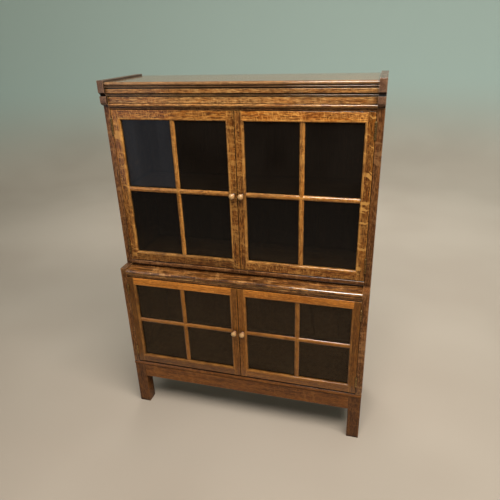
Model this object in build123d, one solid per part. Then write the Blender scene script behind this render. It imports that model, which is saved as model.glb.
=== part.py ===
from build123d import *
import math
import os

# Two-section glazed bookcase: a crown, an upper case, a deeper lower case with a ledge, and a
# plinth on four square legs. Each case has a pair of hinged doors, and each door holds four panes.
# +X is to the right, the front faces -Y and +Z is up. The origin lies on the floor, at the middle
# of the bounding box. Depths are measured forward from the flat back of the bookcase.

# ---- Driving dimensions, millimetres ----
WIDTH = 890.0
HEIGHT = 1260.0
BOARD = 21.5                   # thickness of the side panels and of the crown's end boards
SHEET = 8.0                    # thickness of the back panels
SHELF_THICK = 18.0

LEG = 44.0                     # side of a square leg
RAIL_BOTTOM = 131.0            # underside of the plinth rails
RAIL_THICK = 20.0
LEG_TOP = 186.0                # top of the legs and rails, underside of the plinth's top frame
CASE_BASE = 200.0              # top of the plinth, underside of the lower case
FRAME_WIDE = 60.0              # width of the boards of the plinth's top frame

LEDGE_TOP = 608.0
LEDGE_BOTTOM = 588.0
STACK_LEVEL = 612.0            # the lower side panels end here and the upper ones stand on them
UPPER_FLOOR = 628.0            # top of the upper case's bottom board
CROWN_BASE = 1177.0            # top of the upper case, underside of the crown
CROWN_DECK = 1254.0            # top face of the crown's top board
DECK_THICK = 12.0

UPPER_DEPTH = 250.0
LOWER_DEPTH = 302.0
LEDGE_DEPTH = 304.0
CROWN_DEPTH = 270.0
CROWN_STEP_DEPTH = 266.0       # the crown end boards' lower, less forward step

DOOR_THICK = 20.0
DOOR_BACK_GAP = 1.0            # air between a closed door and the board it stops against
DOOR_SIDE_GAP = 1.2            # between a door and its side panel
DOOR_END_GAP = 1.5             # above and below a door
MEETING_GAP = 2.0              # between the two doors of a pair
UPPER_DOOR = (629.5, 1168.0)   # bottom and top of the upper doors
LOWER_DOOR = (206.0, 578.5)
UPPER_SIGHT = (663.0, 1136.0)  # bottom and top of the glazed opening
LOWER_SIGHT = (237.5, 548.0)
OUTER_SIGHT = 393.0            # the glazed opening, measured from the middle of the bookcase
INNER_SIGHT = 29.0
UPPER_BAR_HEIGHT = 900.0       # middle of the horizontal glazing bars
LOWER_BAR_HEIGHT = 397.0

LIP = 6.0                      # moulded lip that the glass lies behind
LIP_THICK = 9.0
LIP_FLAT = 1.5
LIP_CURVE_DEPTH = 4.5
GLASS = 3.0
GLASS_COVER = 4.0              # how far a pane reaches behind the lips
BAR_WIDE = 16.0
BAR_TONGUE = 4.0
BAR_SET_BACK = 3.0             # the bars' crest lies behind the door's face
BEAD_DEPTH = 6.0

KNOB_RADIUS = 10.0
KNOB_LENGTH = 22.0
DOME_HEIGHT = 2.4              # the knob's rounded face, above its rim
KNOB_X = 15.0
UPPER_KNOB_HEIGHT = 899.0
LOWER_KNOB_HEIGHT = 399.0
SPIGOT_RADIUS = 4.0
SPIGOT_LENGTH = 12.0

UPPER_HINGE_LENGTH = 50.0
LOWER_HINGE_LENGTH = 38.0
UPPER_HINGE_INSET = 54.0       # hinge centre from the door's end
LOWER_HINGE_INSET = 50.0
BARREL_RADIUS = 3.2
PIN_RADIUS = 1.6
PIN_CLEARANCE = 0.05
PIN_PROUD = 1.5                # the pin's axis lies this far in front of the door's face
BARREL_POCKET = 3.45           # radius of the notch that the wood leaves round a barrel
KNUCKLES = 5
KNUCKLE_GAP = 0.15
LEAF_THICK = 1.6
LEAF_FACE_GAP = 0.4            # between the two closed leaves
LEAF_REACH = 16.0              # from the front of the wood to the leaf's back edge
TIP_RADIUS = 2.4
SCREW_RADIUS = 1.5
SCREW_HEAD_RADIUS = 3.0
SCREW_LENGTH = 13.0
SCREW_SLACK = 0.03
SLOT_WIDE = 0.7
SLOT_DEEP = 0.5

BEARER = 14.0
SHELF_TOP = 898.0
SHELF_FRONT = 222.0
SHELF_END_GAP = 1.0
STRIP_BOTTOM = 580.0           # facing strip under the ledge board
FACING_DEPTH = 247.0

# ---- Worked out from the dimensions above ----
HALF = WIDTH / 2
INSIDE = HALF - BOARD
BACK_Y = (LOWER_DEPTH + KNOB_LENGTH) / 2
DOOR_OUTER = INSIDE - DOOR_SIDE_GAP
DOOR_INNER = MEETING_GAP / 2
PIN_X = INSIDE - DOOR_SIDE_GAP / 2
FASCIA_BOTTOM = 1209.0


def at_depth(depth):
    """Y of a plane that lies this far in front of the back."""
    return BACK_Y - depth


def block(x_range, depth_range, z_range):
    """Rectangular board between two values of x, depth and z."""
    size = [abs(b - a) for a, b in (x_range, depth_range, z_range)]
    middle_y = at_depth(sum(depth_range) / 2)
    return Pos(sum(x_range) / 2, middle_y, sum(z_range) / 2) * Box(*size)


def outline_face(to_world, start, steps):
    """Face inside an outline. A step is a point, or a pair of points that an arc passes and meets."""
    edges = []
    here = start
    for step in list(steps) + [start]:
        if isinstance(step[0], tuple):
            via, end = step
            edges.append(Edge.make_three_point_arc(to_world(here), to_world(via), to_world(end)))
        else:
            end = step
            edges.append(Edge.make_line(to_world(here), to_world(end)))
        here = end
    return Face(Wire(edges))


def along_x(x_range, start, steps):
    """Moulding that runs across the bookcase; its outline is given as (depth, z)."""
    face = outline_face(lambda p: Vector(x_range[0], at_depth(p[0]), p[1]), start, steps)
    return extrude(face, amount=x_range[1] - x_range[0], dir=(1, 0, 0))


def along_z(z_range, start, steps):
    """Upright moulding; its outline is given as (x, depth)."""
    face = outline_face(lambda p: Vector(p[0], at_depth(p[1]), z_range[0]), start, steps)
    return extrude(face, amount=z_range[1] - z_range[0], dir=(0, 0, 1))


def along_y(depth_range, start, steps):
    """Plate seen from the front; its outline is given as (x, z)."""
    face = outline_face(lambda p: Vector(p[0], at_depth(depth_range[0]), p[1]), start, steps)
    return extrude(face, amount=depth_range[1] - depth_range[0], dir=(0, -1, 0))


def upright_cylinder(x, depth, radius, z_range):
    """Cylinder with an upright axis."""
    base = Pos(x, at_depth(depth), sum(z_range) / 2)
    return base * Cylinder(radius, z_range[1] - z_range[0])


def mirrored(shapes):
    """The same shapes on the other side of the bookcase."""
    return [shape.mirror(Plane.YZ) for shape in shapes]


def save(node, shapes):
    """Write one node, with each of its pieces as a solid of its own."""
    solids = [solid for shape in shapes for solid in shape.solids()]
    export_step(Compound(solids), f"parts/{node}.step")


# ---- Hinges ----

def hinge_centres(door_range, inset):
    return [door_range[0] + inset, door_range[1] - inset]


def knuckle_ranges(centre, length, owner):
    """Height ranges of the knuckles: the side panel's leaf has every second one, from the ends."""
    pitch = length / KNUCKLES
    low = centre - length / 2
    first = 0 if owner == "jamb" else 1
    return [
        (low + i * pitch + KNUCKLE_GAP / 2, low + (i + 1) * pitch - KNUCKLE_GAP / 2)
        for i in range(first, KNUCKLES, 2)
    ]


def screw_heights(centre, length):
    """Three screws hold a long leaf and two hold a short one."""
    count = 3 if length > 45 else 2
    pitch = length / count
    return [centre + (i - (count - 1) / 2) * pitch for i in range(count)]


def screw_shape(radius, head_radius):
    """Countersunk screw along +X with its flat head at the origin."""
    head_length = head_radius - radius
    head = Pos(head_length / 2, 0, 0) * Rot(0, 90, 0) * Cone(head_radius, radius, head_length)
    shank_length = SCREW_LENGTH - head_length
    shank = Pos(head_length + shank_length / 2, 0, 0) * Rot(0, 90, 0) * Cylinder(radius, shank_length)
    return head + shank


def slotted_screw():
    """Screw with a driver slot in its head."""
    screw = screw_shape(SCREW_RADIUS, SCREW_HEAD_RADIUS)
    return screw - Box(2 * SLOT_DEEP, 2.1 * SCREW_HEAD_RADIUS, SLOT_WIDE)


def leaf_face_x(owner):
    """X of the open face of a right-hand leaf."""
    side = 1 if owner == "jamb" else -1
    return PIN_X + side * LEAF_FACE_GAP / 2


def screw_places(front, centre, length, owner):
    """Locations of the screws of one right-hand leaf, each turned so that it runs into the wood."""
    turn = Rot(0, 0, 0) if owner == "jamb" else Rot(0, 0, 180)
    row_depth = front - LEAF_REACH / 2 - 1.0
    x = leaf_face_x(owner)
    return [Pos(x, at_depth(row_depth), z) * turn for z in screw_heights(centre, length)]


def leaf_plate(front, centre, length, owner):
    """The flat of a leaf, let into the wood."""
    x = leaf_face_x(owner)
    far = x + LEAF_THICK if owner == "jamb" else x - LEAF_THICK
    z_range = (centre - length / 2, centre + length / 2)
    return block(tuple(sorted((x, far))), (front - LEAF_REACH, front), z_range)


def hinge_leaf(front, centre, length, owner):
    """One leaf with its knuckles, drilled for the pin and countersunk for the screws."""
    pin_depth = front + PIN_PROUD
    other = "door" if owner == "jamb" else "jamb"
    leaf = leaf_plate(front, centre, length, owner)
    for z_range in knuckle_ranges(centre, length, other):
        wide = (z_range[0] - KNUCKLE_GAP, z_range[1] + KNUCKLE_GAP)
        leaf -= upright_cylinder(PIN_X, pin_depth, BARREL_POCKET, wide)
    for z_range in knuckle_ranges(centre, length, owner):
        leaf += upright_cylinder(PIN_X, pin_depth, BARREL_RADIUS, z_range)
    whole = (centre - length, centre + length)
    leaf -= upright_cylinder(PIN_X, pin_depth, PIN_RADIUS + PIN_CLEARANCE, whole)
    for place in screw_places(front, centre, length, owner):
        leaf -= place * screw_shape(SCREW_RADIUS + SCREW_SLACK, SCREW_HEAD_RADIUS + SCREW_SLACK)
    return leaf


def hinge_pin(front, centre, length):
    """Pin with a ball tip at each end, resting on the end knuckles."""
    z_range = (centre - length / 2, centre + length / 2)
    pin = upright_cylinder(PIN_X, front + PIN_PROUD, PIN_RADIUS, z_range)
    for z, side in ((z_range[0], -1), (z_range[1], 1)):
        tip = Pos(PIN_X, at_depth(front + PIN_PROUD), z) * Sphere(TIP_RADIUS)
        half = Pos(PIN_X, at_depth(front + PIN_PROUD), z + side * TIP_RADIUS) * Box(*[2 * TIP_RADIUS] * 3)
        pin += tip & half
    return pin


def cut_for_hinge(wood, front, centre, length, owner):
    """Notch for the barrel, shallow seat for the leaf, and screw holes, cut from a piece of wood."""
    z_range = (centre - length / 2 - TIP_RADIUS, centre + length / 2 + TIP_RADIUS)
    wood -= upright_cylinder(PIN_X, front + PIN_PROUD, BARREL_POCKET, z_range)
    wood -= leaf_plate(front, centre, length, owner)
    for place in screw_places(front, centre, length, owner):
        wood -= place * screw_shape(SCREW_RADIUS, SCREW_HEAD_RADIUS)
    return wood


# ---- Doors, all drawn as right-hand doors and mirrored for the left ----

def lip_section(root, direction, front):
    """Outline of the moulded lip: a flat, a quarter round, and the square edge over the glass."""
    crest = root + direction * LIP_FLAT
    edge = root + direction * LIP
    bulge = crest + direction * (LIP - LIP_FLAT) * 0.707
    curve_mid = front - LIP_CURVE_DEPTH * (1 - 0.707)
    return [
        (root, front),
        (crest, front),
        ((bulge, curve_mid), (edge, front - LIP_CURVE_DEPTH)),
        (edge, front - LIP_THICK),
        (root, front - LIP_THICK),
    ]


def door_stile(x_outer, x_sight, door_range, sight, front):
    """Upright of a door, with its moulded lip mitred at both ends of the opening."""
    direction = 1 if x_sight > x_outer else -1
    root = x_sight - direction * LIP
    core = block(tuple(sorted((x_outer, root))), (front - DOOR_THICK, front), door_range)
    section = lip_section(root, direction, front)
    lip = along_z((sight[0] - LIP, sight[1] + LIP), section[0], section[1:])
    mitre = along_y(
        (front - DOOR_THICK, front + 1),
        (root, sight[0] - LIP),
        [(root, sight[1] + LIP), (x_sight, sight[1]), (x_sight, sight[0])],
    )
    return core + (lip & mitre)


def door_rail(z_outer, z_sight, front):
    """Cross rail of a door, with its moulded lip mitred at both ends."""
    direction = 1 if z_sight > z_outer else -1
    root = z_sight - direction * LIP
    x_low = INNER_SIGHT - LIP
    x_high = OUTER_SIGHT + LIP
    core = block((x_low, x_high), (front - DOOR_THICK, front), tuple(sorted((z_outer, root))))
    section = [
        tuple((p[1], p[0]) for p in step) if isinstance(step[0], tuple) else (step[1], step[0])
        for step in lip_section(root, direction, front)
    ]
    lip = along_x((x_low, x_high), section[0], section[1:])
    mitre = along_y(
        (front - DOOR_THICK, front + 1),
        (x_low, root),
        [(x_high, root), (OUTER_SIGHT, z_sight), (INNER_SIGHT, z_sight)],
    )
    return core + (lip & mitre)


def bar_outline(middle, front):
    """Outline of a glazing bar: a rounded crest, square shoulders and a tongue between the panes."""
    crest = front - BAR_SET_BACK
    glass = front - LIP_THICK
    shoulder = glass + 2.0
    half = BAR_WIDE / 2
    tongue = BAR_TONGUE / 2
    back = glass - GLASS - BEAD_DEPTH
    return [
        (middle - half, glass),
        (middle - half, shoulder),
        ((middle, crest), (middle + half, shoulder)),
        (middle + half, glass),
        (middle + tongue, glass),
        (middle + tongue, back),
        (middle - tongue, back),
        (middle - tongue, glass),
    ]


def glazing_bars(sight, bar_height, front):
    """One whole upright bar and a cross bar in two halves."""
    middle = (INNER_SIGHT + OUTER_SIGHT) / 2
    section = bar_outline(middle, front)
    upright = along_z(sight, section[0], section[1:])
    section = [
        tuple((p[1], p[0]) for p in step) if isinstance(step[0], tuple) else (step[1], step[0])
        for step in bar_outline(bar_height, front)
    ]
    inner = along_x((INNER_SIGHT, middle - BAR_WIDE / 2), section[0], section[1:])
    outer = along_x((middle + BAR_WIDE / 2, OUTER_SIGHT), section[0], section[1:])
    return [upright, inner, outer]


def pane_openings(sight, bar_height):
    """The four glazed openings of a door, as x and z ranges between the edges that show."""
    middle = (INNER_SIGHT + OUTER_SIGHT) / 2
    columns = [(INNER_SIGHT, middle - BAR_WIDE / 2), (middle + BAR_WIDE / 2, OUTER_SIGHT)]
    rows = [(sight[0], bar_height - BAR_WIDE / 2), (bar_height + BAR_WIDE / 2, sight[1])]
    return [(column, row) for column in columns for row in rows]


def door_panes(sight, bar_height, front):
    """Four panes, each covered all round by the lips and bars."""
    back = front - LIP_THICK - GLASS
    panes = []
    for column, row in pane_openings(sight, bar_height):
        x_range = (column[0] - GLASS_COVER, column[1] + GLASS_COVER)
        z_range = (row[0] - GLASS_COVER, row[1] + GLASS_COVER)
        panes.append(block(x_range, (back, back + GLASS), z_range))
    return panes


def door_beads(sight, bar_height, front):
    """Square strips behind the glass that hold each pane: two upright, two across between them."""
    top = front - LIP_THICK - GLASS
    depth_range = (top - BEAD_DEPTH, top)
    beads = []
    for column, row in pane_openings(sight, bar_height):
        x_low, x_high = column[0] - GLASS_COVER, column[1] + GLASS_COVER
        z_low, z_high = row[0] - GLASS_COVER, row[1] + GLASS_COVER
        for x in (x_low, x_high - BEAD_DEPTH):
            beads.append(block((x, x + BEAD_DEPTH), depth_range, (z_low, z_high)))
        for z in (z_low, z_high - BEAD_DEPTH):
            beads.append(block((x_low + BEAD_DEPTH, x_high - BEAD_DEPTH), depth_range, (z, z + BEAD_DEPTH)))
    return beads


def door_knob(height, front):
    """Turned mushroom knob on a thin collar, with a spigot that enters the stile."""
    collar = 0.68 * KNOB_RADIUS
    rim = 0.70 * KNOB_RADIUS
    rim_height = KNOB_LENGTH - DOME_HEIGHT
    dome_radius = (rim ** 2 + DOME_HEIGHT ** 2) / (2 * DOME_HEIGHT)
    half_turn = math.asin(rim / dome_radius) / 2
    dome_middle = (
        dome_radius * math.sin(half_turn),
        KNOB_LENGTH - dome_radius * (1 - math.cos(half_turn)),
    )
    face = outline_face(
        lambda p: Vector(KNOB_X + p[0], at_depth(front + p[1]), height),
        (0, -SPIGOT_LENGTH),
        [
            (SPIGOT_RADIUS, -SPIGOT_LENGTH),
            (SPIGOT_RADIUS, 0),
            (collar, 0),
            (collar, 1.8),
            ((0.44 * KNOB_RADIUS, 6.0), (0.62 * KNOB_RADIUS, 10.0)),
            ((KNOB_RADIUS, 15.0), (rim, rim_height)),
            (dome_middle, (0, KNOB_LENGTH)),
        ],
    )
    return revolve(face, axis=Axis((KNOB_X, BACK_Y, height), (0, 1, 0)))


def knob_hole(height, front):
    """Blind hole in the stile for the knob's spigot."""
    middle = at_depth(front - SPIGOT_LENGTH / 2)
    return Pos(KNOB_X, middle, height) * Rot(90, 0, 0) * Cylinder(SPIGOT_RADIUS, SPIGOT_LENGTH)


def door_pieces(level):
    """Every piece of a right-hand door, by the end of its node name."""
    front, door_range, sight, bar_height, knob_height, length, inset = DOORS[level]
    centres = hinge_centres(door_range, inset)
    outer = door_stile(DOOR_OUTER, OUTER_SIGHT, door_range, sight, front)
    inner = door_stile(DOOR_INNER, INNER_SIGHT, door_range, sight, front)
    inner -= knob_hole(knob_height, front)
    for centre in centres:
        outer = cut_for_hinge(outer, front, centre, length, "door")
    screws = []
    for centre in centres:
        screws += [place * slotted_screw() for place in screw_places(front, centre, length, "door")]
    return {
        "stiles": [outer, inner],
        "rails": [door_rail(door_range[0], sight[0], front), door_rail(door_range[1], sight[1], front)],
        "glazing_bars": glazing_bars(sight, bar_height, front),
        "panes": door_panes(sight, bar_height, front),
        "glazing_beads": door_beads(sight, bar_height, front),
        "knob": [door_knob(knob_height, front)],
        "hinge_leaves": [hinge_leaf(front, centre, length, "door") for centre in centres],
        "hinge_screws": screws,
    }


DOORS = {
    "upper": (UPPER_DEPTH, UPPER_DOOR, UPPER_SIGHT, UPPER_BAR_HEIGHT, UPPER_KNOB_HEIGHT,
              UPPER_HINGE_LENGTH, UPPER_HINGE_INSET),
    "lower": (LOWER_DEPTH, LOWER_DOOR, LOWER_SIGHT, LOWER_BAR_HEIGHT, LOWER_KNOB_HEIGHT,
              LOWER_HINGE_LENGTH, LOWER_HINGE_INSET),
}


# ---- Plinth ----

def plinth_legs():
    """Four square legs, at the corners."""
    legs = []
    for depth in (0, LOWER_DEPTH - LEG):
        right = block((HALF - LEG, HALF), (depth, depth + LEG), (0, LEG_TOP))
        legs += [right] + mirrored([right])
    return legs


def plinth_front_rail():
    x_range = (LEG - HALF, HALF - LEG)
    return block(x_range, (LOWER_DEPTH - RAIL_THICK, LOWER_DEPTH), (RAIL_BOTTOM, LEG_TOP))


def plinth_rails():
    """Back rail and both side rails, between the legs."""
    back = block((LEG - HALF, HALF - LEG), (0, RAIL_THICK), (RAIL_BOTTOM, LEG_TOP))
    side = block((HALF - RAIL_THICK, HALF), (LEG, LOWER_DEPTH - LEG), (RAIL_BOTTOM, LEG_TOP))
    return [back, side] + mirrored([side])


def plinth_top_frame():
    """Flat frame on the legs: a moulded front board, a back board and two short side boards."""
    inner = LOWER_DEPTH - FRAME_WIDE
    quirk = LOWER_DEPTH - 1.5
    nose = LOWER_DEPTH + 2.0
    front = along_x(
        (-HALF, HALF),
        (inner, LEG_TOP),
        [
            (quirk, LEG_TOP),
            (quirk, LEG_TOP + 2.5),
            ((nose - 0.4, LEG_TOP + 3.0), (nose, LEG_TOP + 4.5)),
            (nose, CASE_BASE - 6.0),
            (nose - 5.0, CASE_BASE),
            (inner, CASE_BASE),
        ],
    )
    back = block((-HALF, HALF), (0, FRAME_WIDE), (LEG_TOP, CASE_BASE))
    side = block((HALF - FRAME_WIDE, HALF), (FRAME_WIDE, inner), (LEG_TOP, CASE_BASE))
    return [front, back, side] + mirrored([side])


# ---- Lower and upper case ----

def side_panel(level):
    """Right side panel of a case, cut for its two hinges."""
    front, door_range, _, _, _, length, inset = DOORS[level]
    z_range = (CASE_BASE, STACK_LEVEL) if level == "lower" else (STACK_LEVEL, CROWN_BASE)
    panel = block((INSIDE, HALF), (0, front), z_range)
    for centre in hinge_centres(door_range, inset):
        panel = cut_for_hinge(panel, front, centre, length, "jamb")
    return panel


def ledge_board():
    """Top board of the lower case: a half-round nose over a quirk and a small square."""
    roll = (LEDGE_TOP - LEDGE_BOTTOM) * 0.3
    root = LEDGE_DEPTH - roll
    quirk = LEDGE_TOP - 2 * roll
    return along_x(
        (-INSIDE, INSIDE),
        (0, LEDGE_BOTTOM),
        [
            (LEDGE_DEPTH - 3.0, LEDGE_BOTTOM),
            (LEDGE_DEPTH - 3.0, quirk - 2.0),
            (root, quirk - 1.0),
            (root, quirk),
            ((LEDGE_DEPTH, quirk + roll), (root, LEDGE_TOP)),
            (0, LEDGE_TOP),
        ],
    )


def lower_facing_strip():
    """Strip under the ledge board, a little behind the doors' faces."""
    return block((-INSIDE, INSIDE), (LOWER_DEPTH - DOOR_THICK, LOWER_DEPTH - 4.0), (STRIP_BOTTOM, LEDGE_BOTTOM))


def lower_bottom_board():
    """Bottom of the lower case, which the closed doors stop against."""
    front = LOWER_DEPTH - DOOR_THICK - DOOR_BACK_GAP
    return block((-INSIDE, INSIDE), (0, front), (CASE_BASE, CASE_BASE + SHELF_THICK))


def lower_back_panel():
    return block((-INSIDE, INSIDE), (0, SHEET), (CASE_BASE + SHELF_THICK, LEDGE_BOTTOM))


def upper_bottom_board():
    """Bottom of the upper case. Its rounded front edge shows under the doors."""
    soft = 6.0
    return along_x(
        (-INSIDE, INSIDE),
        (0, LEDGE_TOP),
        [
            (UPPER_DEPTH - soft, LEDGE_TOP),
            ((UPPER_DEPTH - soft * 0.293, LEDGE_TOP + soft * 0.293), (UPPER_DEPTH, LEDGE_TOP + soft)),
            (UPPER_DEPTH, UPPER_FLOOR - soft),
            ((UPPER_DEPTH - soft * 0.293, UPPER_FLOOR - soft * 0.293), (UPPER_DEPTH - soft, UPPER_FLOOR)),
            (0, UPPER_FLOOR),
        ],
    )


def upper_top_board():
    """Top of the upper case, which the closed doors stop against."""
    front = UPPER_DEPTH - DOOR_THICK - DOOR_BACK_GAP
    return block((-INSIDE, INSIDE), (0, front), (CROWN_BASE - SHELF_THICK, CROWN_BASE))


def upper_facing_strip():
    """Strip along the front of the top board, above the doors."""
    back = UPPER_DEPTH - DOOR_THICK - DOOR_BACK_GAP
    return block((-INSIDE, INSIDE), (back, FACING_DEPTH), (UPPER_DOOR[1] + DOOR_END_GAP, CROWN_BASE))


def upper_back_panel():
    return block((-INSIDE, INSIDE), (0, SHEET), (UPPER_FLOOR, CROWN_BASE - SHELF_THICK))


def shelf_board():
    ends = INSIDE - SHELF_END_GAP
    return block((-ends, ends), (SHEET, SHELF_FRONT), (SHELF_TOP - SHELF_THICK, SHELF_TOP))


def shelf_bearers():
    """Square strips on the side panels that carry the shelf."""
    top = SHELF_TOP - SHELF_THICK
    right = block((INSIDE - BEARER, INSIDE), (SHEET + 4.0, SHELF_FRONT - 12.0), (top - BEARER, top))
    return [right] + mirrored([right])


# ---- Crown ----

def crown_end():
    """Right end board: two forward steps with curved undersides, the upper one standing proudest."""
    low_step = 1192.0
    high_step = 1214.0
    crest = 1226.0
    return along_x(
        (INSIDE, HALF),
        (0, CROWN_BASE),
        [
            (UPPER_DEPTH, CROWN_BASE),
            (UPPER_DEPTH, CROWN_BASE + 5.0),
            ((CROWN_STEP_DEPTH - 5.0, low_step - 6.5), (CROWN_STEP_DEPTH, low_step)),
            (CROWN_STEP_DEPTH, high_step - 2.0),
            (CROWN_STEP_DEPTH - 2.0, high_step),
            ((CROWN_DEPTH - 2.5, crest - 7.0), (CROWN_DEPTH, crest)),
            (CROWN_DEPTH, HEIGHT),
            (0, HEIGHT),
        ],
    )


def crown_top_board():
    """Top board between the ends, set down a little, with a half-round nose."""
    roll = (DECK_THICK - 1.0) / 2
    front = CROWN_DEPTH - 5.0
    return along_x(
        (-INSIDE, INSIDE),
        (0, CROWN_DECK - DECK_THICK),
        [
            (front - roll, CROWN_DECK - DECK_THICK),
            (front - roll, CROWN_DECK - 2 * roll),
            ((front, CROWN_DECK - roll), (front - roll, CROWN_DECK)),
            (0, CROWN_DECK),
        ],
    )


def crown_fascia():
    """Moulded fascia: bead, groove, flat band, undercut and a thin lower bead."""
    back = 236.0
    band = CROWN_DEPTH - 9.0
    ground = band - 5.0
    top = CROWN_DECK - DECK_THICK
    return along_x(
        (-INSIDE, INSIDE),
        (back, FASCIA_BOTTOM),
        [
            (ground - 4.0, FASCIA_BOTTOM),
            (ground - 4.0, 1212.0),
            (ground - 1.0, 1212.0),
            ((ground + 2.0, 1214.0), (ground - 1.0, 1216.0)),
            (ground - 1.0, 1217.5),
            (band, 1221.0),
            (band, 1232.5),
            (band - 1.0, 1233.5),
            (ground, 1233.5),
            (ground, 1236.5),
            (band - 1.0, 1236.5),
            ((band + 1.5, 1239.0), (band - 1.0, 1241.5)),
            (ground, top),
            (back, top),
        ],
    )


def crown_frieze():
    """Flat frieze over a rounded bead, just above the doors."""
    back = 236.0
    flat = UPPER_DEPTH + 4.0
    return along_x(
        (-INSIDE, INSIDE),
        (back, CROWN_BASE),
        [
            (flat - 2.0, CROWN_BASE),
            (flat - 2.0, 1179.0),
            ((flat + 2.5, 1183.8), (flat - 1.5, 1188.5)),
            (flat - 1.5, 1190.0),
            (flat, 1190.0),
            (flat, FASCIA_BOTTOM),
            (back, FASCIA_BOTTOM),
        ],
    )


def crown_back_rail():
    return block((-INSIDE, INSIDE), (0, SHELF_THICK), (CROWN_BASE, CROWN_DECK - DECK_THICK))


# ---- Hardware that stays on the case ----

def case_hinges():
    """Leaves, pins and screws fixed to the side panels."""
    leaves = []
    pins = []
    screws = []
    for front, door_range, _, _, _, length, inset in DOORS.values():
        for centre in hinge_centres(door_range, inset):
            leaves.append(hinge_leaf(front, centre, length, "jamb"))
            pins.append(hinge_pin(front, centre, length))
            screws += [place * slotted_screw() for place in screw_places(front, centre, length, "jamb")]
    return leaves + mirrored(leaves), pins + mirrored(pins), screws + mirrored(screws)


def main():
    os.makedirs("parts", exist_ok=True)
    save("plinth_legs", plinth_legs())
    save("plinth_front_rail", [plinth_front_rail()])
    save("plinth_rails", plinth_rails())
    save("plinth_top_frame", plinth_top_frame())
    for level in DOORS:
        panel = side_panel(level)
        save(f"{level}_side_right", [panel])
        save(f"{level}_side_left", mirrored([panel]))
    save("ledge_board", [ledge_board()])
    save("lower_facing_strip", [lower_facing_strip()])
    save("lower_bottom_board", [lower_bottom_board()])
    save("lower_back_panel", [lower_back_panel()])
    save("upper_bottom_board", [upper_bottom_board()])
    save("upper_top_board", [upper_top_board()])
    save("upper_facing_strip", [upper_facing_strip()])
    save("upper_back_panel", [upper_back_panel()])
    save("shelf", [shelf_board()])
    save("shelf_bearers", shelf_bearers())
    end_board = crown_end()
    save("crown_end_right", [end_board])
    save("crown_end_left", mirrored([end_board]))
    save("crown_top_board", [crown_top_board()])
    save("crown_fascia", [crown_fascia()])
    save("crown_frieze", [crown_frieze()])
    save("crown_back_rail", [crown_back_rail()])
    leaves, pins, screws = case_hinges()
    save("jamb_hinge_leaves", leaves)
    save("hinge_pins", pins)
    save("jamb_hinge_screws", screws)
    for level in DOORS:
        for ending, pieces in door_pieces(level).items():
            save(f"{level}_right_door_{ending}", pieces)
            save(f"{level}_left_door_{ending}", mirrored(pieces))


main()
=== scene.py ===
import math
import random
import bmesh
import bpy
from mathutils import Matrix, Vector


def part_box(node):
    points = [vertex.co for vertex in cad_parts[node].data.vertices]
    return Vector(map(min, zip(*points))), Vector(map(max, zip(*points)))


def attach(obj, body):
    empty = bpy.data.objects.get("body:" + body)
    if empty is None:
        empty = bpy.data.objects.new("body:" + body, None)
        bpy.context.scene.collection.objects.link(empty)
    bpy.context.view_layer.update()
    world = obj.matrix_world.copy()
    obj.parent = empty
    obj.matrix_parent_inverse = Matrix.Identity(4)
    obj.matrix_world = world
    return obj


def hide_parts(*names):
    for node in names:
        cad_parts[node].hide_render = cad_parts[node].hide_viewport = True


# A two-section glazed oak bookcase on a pale studio floor. Every board is a closed mesh of its own
# with softened arrises, and carries its run of grain as an attribute, so that the oak's figure
# stays on it when a door swings. Metres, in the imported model's frame: the front faces -Y.

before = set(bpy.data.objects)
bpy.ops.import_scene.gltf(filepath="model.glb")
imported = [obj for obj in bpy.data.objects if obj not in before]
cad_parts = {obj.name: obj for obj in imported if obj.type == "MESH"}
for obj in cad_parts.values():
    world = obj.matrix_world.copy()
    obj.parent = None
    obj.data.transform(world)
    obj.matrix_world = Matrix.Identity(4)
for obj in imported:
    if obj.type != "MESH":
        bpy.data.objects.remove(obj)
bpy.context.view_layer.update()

MM = 0.001
TINY = 1e-6
X = Vector((1, 0, 0))
Y = Vector((0, 1, 0))
Z = Vector((0, 0, 1))

# ---- Wood sizes that the nodes' boxes don't give ----
ARRIS = 1.1 * MM                 # rounding of a worn edge
FINE_ARRIS = 0.5 * MM            # rounding of a board's end
LEG_ARRIS = 2.2 * MM
SIDE_ARRIS = 1.6 * MM
DOOR_ARRIS = 1.8 * MM
ARRIS_STEPS = 3                  # facets to a rounded edge
ARRIS_SHARE = 0.4                # most of a short side that one rounding may take
LEAST_SPREAD = 0.6               # keeps a sharp corner from shooting out when moved in
ARC_STEPS = 8                    # facets to each arc of a moulding or a knob
SHARP_ANGLE = 40                 # edges sharper than this, in degrees, stay crisp
LEG = 44 * MM
RAIL_THICK = 20 * MM
FRAME_WIDE = 60 * MM             # side and back boards of the plinth's top frame
BACK_BOARD = 95 * MM             # width of the upright boards of the back
BACK_JOINT = 2.0 * MM            # half the V between two of them
BEARER = 14 * MM
LIP = 6 * MM                     # moulded lip round the glass
LIP_FLAT = 1.5 * MM
LIP_CURVE = 4.5 * MM
LIP_THICK = 9 * MM
PANE_THICK = 3 * MM
BAR_WIDE = 16 * MM
BAR_SET_BACK = 3 * MM            # the bars' crest lies behind the door's face
BAR_SHOULDER = 2 * MM
TONGUE = 4 * MM                  # part of a bar between the panes
TONGUE_DEEP = 9 * MM
BAR_HEIGHTS = {"upper": 900 * MM, "lower": 397 * MM}

# ---- Knob: widths are shares of its radius, and the rest is in millimetres ----
KNOB_COLLAR = 0.68
KNOB_COLLAR_EDGES = (0.4, 0.9, 1.5, 1.8)
KNOB_COLLAR_BEVEL = 0.3
KNOB_NECK = (0.44, 6.0)
KNOB_SWELL = (0.62, 10.0)
KNOB_WIDEST = 15.0
KNOB_FACE = 0.7
KNOB_DOME = 2.4
KNOB_DOME_VIA = (0.36, 1.85)
KNOB_SIDES = 48
KNOB_RUB = (2.2, -1.2)           # slope and start of the rubbing along the knob

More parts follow.
